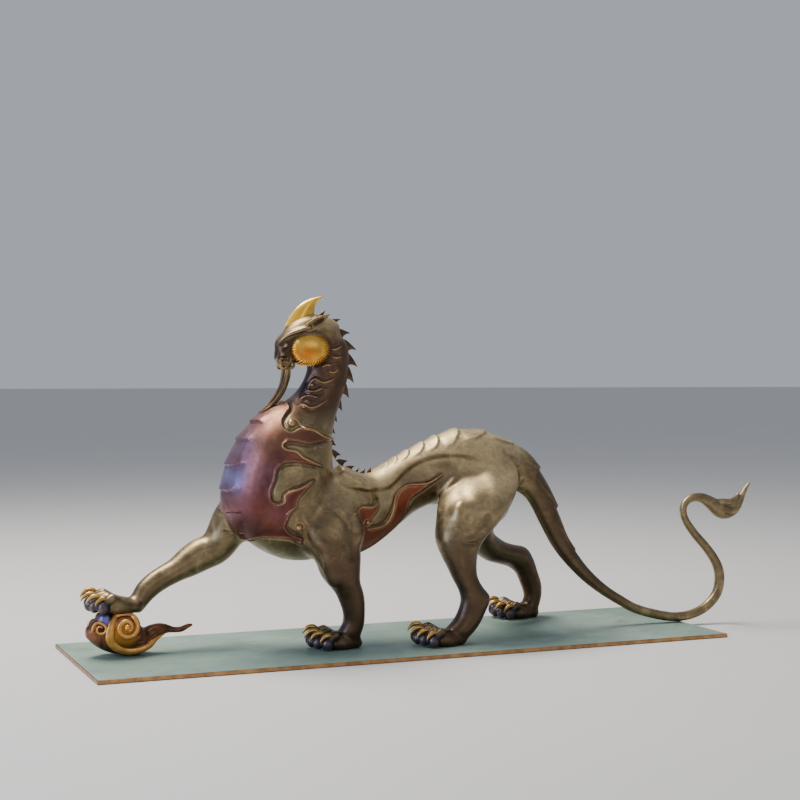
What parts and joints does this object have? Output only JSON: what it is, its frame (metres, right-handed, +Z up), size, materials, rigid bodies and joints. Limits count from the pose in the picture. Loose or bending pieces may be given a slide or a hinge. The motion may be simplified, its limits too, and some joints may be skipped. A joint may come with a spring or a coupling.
{
  "type": "pixiu statue",
  "caption": "Striding pixiu figure in patinated bronze with a horn, crested nape and long curling tail, on a thin rectangular plate, a forepaw resting on a curled cloud.",
  "frame": {"origin": "middle of the plate's underside", "axes": "+X from the head to the tail along the plate's length, +Z up"},
  "size_m": [0.547, 0.15, 0.2568],
  "materials": {
    "verdigris_plate": "matt grey-green verdigris patina with a bare golden edge",
    "patinated_bronze": "olive-brown patina, worn tan on the ridges, copper-red breast and flank flames, gilded horn and cheeks",
    "gilded_bronze": "dark brown patina with a gilded scroll and band"
  },
  "bodies": {
    "root": {"base_plate": "verdigris_plate", "pixiu": "patinated_bronze", "cloud": "gilded_bronze"}
  },
  "joints": []
}
